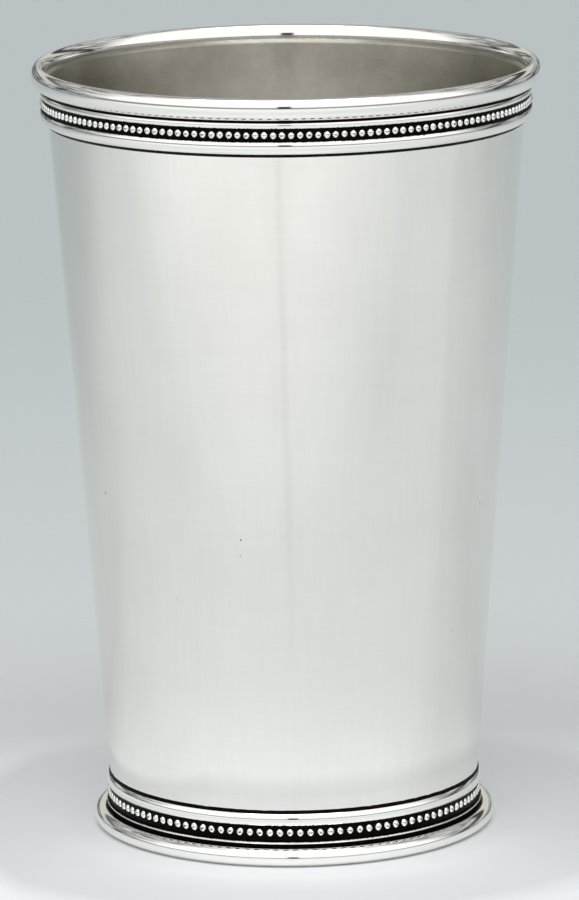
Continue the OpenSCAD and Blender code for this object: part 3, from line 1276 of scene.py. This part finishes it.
class CUP_OT_stage(CupOperator, bpy.types.Operator):
    """Build the floor, the light tent, the lamps and the camera"""

    bl_idname = "julep_cup.stage"
    bl_label = "Stage"
    LAMP_PLACE = (0.0, -0.35, 1.1)
    LAMP_AIM = (0.0, 0.0, 0.06)
    LAMP_SIZE = 0.9
    LAMP_POWER = 4.6
    SENSOR_WIDTH = 36.0
    CLIP_DISTANCES = (0.05, 50.0)
    # The light tent: ramps along x, y and z of the way that one looks, and along its rise, z over y
    CLOTH = Grain((3.2, 3.2, 14.4))
    CLOTH_TONE = 0.93
    DIM_CLOTH = (0.38, 0.62)
    DIM_TONES = (0.14, 0.62)
    LOW_FOLDS = Grain((4.8, 4.8, 20.8))
    LOW_FOLD_EDGES = (0.40, 0.58)
    LOW_FOLD_COLOUR = (0.44, 0.46, 0.465)
    LOW_Z = (0.18, 0.21)
    LEAST_Y = 0.05
    GAP_LOWER_RISE = (0.36, 0.40)
    GAP_UPPER_RISE = (0.62, 0.52)
    GAP_DARKNESS_X = (-0.35, 0.25, 0.7, 1.0)
    BACKDROP_RISE = (0.38, 0.42)
    EDGE_Z = (0.115, 0.145)
    STAND_SHIFT = 0.015
    STAND_X = (0.06, 0.045)
    STAND_Z = (0.33, 0.30)
    BEHIND_Y = (-0.08, 0.22)

    def build(self, cup):
        """Lays the paper, lights the tent and sets up the camera."""
        stage = cup.stage
        self.lay_floor(stage)
        self.light_tent(stage)
        self.hang_lamp()
        self.set_camera(stage)

    def lay_floor(self, stage):
        """A large sheet of paper under the cup."""
        half = stage.floor_size / 2
        mesh = bpy.data.meshes.new("stage_floor")
        corners = [(-half, -half, 0), (half, -half, 0), (half, half, 0), (-half, half, 0)]
        mesh.from_pydata(corners, [], [(0, 1, 2, 3)])
        mesh.materials.append(paper(stage))
        floor = bpy.data.objects.new("stage_floor", mesh)
        bpy.context.scene.collection.objects.link(floor)

    def light_tent(self, stage):
        """A white tent in front and overhead, a grey backdrop behind, and dark gaps between the two."""
        world = bpy.data.worlds.new("light tent")
        world.use_nodes = True
        bpy.context.scene.world = world
        bench = NodeBench(world.node_tree)
        way = bench.add("ShaderNodeTexCoord").outputs["Generated"]
        x, y, z = bench.axes(way)
        dark = toned(stage.tent_gap)
        cloth = bench.grain(self.CLOTH, way)
        white = bench.spread(cloth, 0.0, 1.0)
        white = bench.blend(white, toned(stage.tent), toned(stage.tent, self.CLOTH_TONE))
        dim = [toned(stage.tent, tone) for tone in self.DIM_TONES]
        dim = bench.blend(bench.span(cloth, *self.DIM_CLOTH), *dim)
        low = bench.span(bench.grain(self.LOW_FOLDS, way), *self.LOW_FOLD_EDGES)
        low = bench.blend(low, dark, toned(self.LOW_FOLD_COLOUR))
        rise = bench.reckon("DIVIDE", z, bench.reckon("MAXIMUM", y, self.LEAST_Y))
        gap = bench.product(
            bench.span(rise, *self.GAP_LOWER_RISE),
            bench.span(rise, *self.GAP_UPPER_RISE),
            bench.span(x, *self.GAP_DARKNESS_X),
        )
        behind = bench.blend(bench.span(rise, *self.BACKDROP_RISE), toned(stage.backdrop), dim)
        behind = bench.blend(gap, behind, dark)
        behind = bench.blend(bench.span(z, *self.LOW_Z), low, behind)
        front = bench.blend(bench.span(z, *self.EDGE_Z), toned(stage.tent_edge), white)
        stand = bench.size_of(bench.total(x, self.STAND_SHIFT))
        stand = bench.product(bench.span(stand, *self.STAND_X), bench.span(z, *self.STAND_Z))
        front = bench.blend(stand, front, dark)
        background = world.node_tree.nodes["Background"]
        bench.feed(background.inputs["Color"], bench.blend(bench.span(y, *self.BEHIND_Y), front, behind))
        background.inputs["Strength"].default_value = stage.tent_light

    def hang_lamp(self):
        """A soft square lamp overhead that points at the cup."""
        lamp = bpy.data.lights.new("top softbox", "AREA")
        lamp.size = self.LAMP_SIZE
        lamp.energy = self.LAMP_POWER
        holder = bpy.data.objects.new("top softbox", lamp)
        bpy.context.scene.collection.objects.link(holder)
        holder.location = self.LAMP_PLACE
        aim = Vector(self.LAMP_AIM) - holder.location
        holder.rotation_mode = "QUATERNION"
        holder.rotation_quaternion = aim.to_track_quat("-Z", "Y")

    def set_camera(self, stage):
        """A long lens in front of the cup, looking down a little."""
        camera = bpy.data.cameras.new("camera")
        camera.type = "PERSP"
        camera.sensor_width = self.SENSOR_WIDTH
        camera.lens = stage.lens
        camera.clip_start, camera.clip_end = self.CLIP_DISTANCES
        holder = bpy.data.objects.new("camera", camera)
        bpy.context.scene.collection.objects.link(holder)
        bpy.context.scene.camera = holder
        ahead = Vector((0.0, math.cos(stage.camera_pitch), -math.sin(stage.camera_pitch)))
        right = Vector((1.0, 0.0, 0.0))
        up = right.cross(ahead)
        lean = -stage.camera_roll
        turned_right = right * math.cos(lean) + up * math.sin(lean)
        turned_up = up * math.cos(lean) - right * math.sin(lean)
        axes = Matrix((turned_right, turned_up, -ahead)).transposed()
        place_at = Matrix.Translation((stage.camera_aside, -stage.camera_distance, stage.camera_height))
        holder.matrix_world = place_at @ axes.to_4x4()


class CUP_PT_panel(bpy.types.Panel):
    """Lists the cup's pieces in the 3D view's sidebar"""

    bl_idname = "CUP_PT_panel"
    bl_label = "Julep Cup"
    bl_space_type = "VIEW_3D"
    bl_region_type = "UI"
    bl_category = "Julep Cup"

    def draw(self, context):
        """Draws each group of settings, then the operators."""
        cup = context.scene.julep_cup
        for settings in (cup.wall, cup.border, cup.stage):
            box = self.layout.box()
            for key in settings.__annotations__:
                box.prop(settings, key)
        for operator in OPERATORS:
            self.layout.operator(operator.bl_idname)


OPERATORS = (
    CUP_OT_wall,
    CUP_OT_bottom,
    CUP_OT_lip,
    CUP_OT_borders,
    CUP_OT_solders,
    CUP_OT_foot,
    CUP_OT_stage,
)
CLASSES = (WallSettings, BorderSettings, StageSettings, CupSettings, *OPERATORS, CUP_PT_panel)


def register():
    """Adds the cup's classes and settings to Blender."""
    for cls in CLASSES:
        bpy.utils.register_class(cls)
    bpy.types.Scene.julep_cup = bpy.props.PointerProperty(
        type=CupSettings, name="Julep Cup", description="Settings of the julep cup"
    )


def unregister():
    """Takes the cup's classes and settings out of Blender."""
    del bpy.types.Scene.julep_cup
    for cls in reversed(CLASSES):
        bpy.utils.unregister_class(cls)


def main():
    """Builds the pieces and the stage."""
    register()
    bpy.context.scene.view_settings.view_transform = "Standard"
    bpy.ops.julep_cup.wall()
    bpy.ops.julep_cup.bottom()
    bpy.ops.julep_cup.lip()
    bpy.ops.julep_cup.borders()
    bpy.ops.julep_cup.solders()
    bpy.ops.julep_cup.foot()
    bpy.ops.julep_cup.stage()


if __name__ == "__main__":
    main()
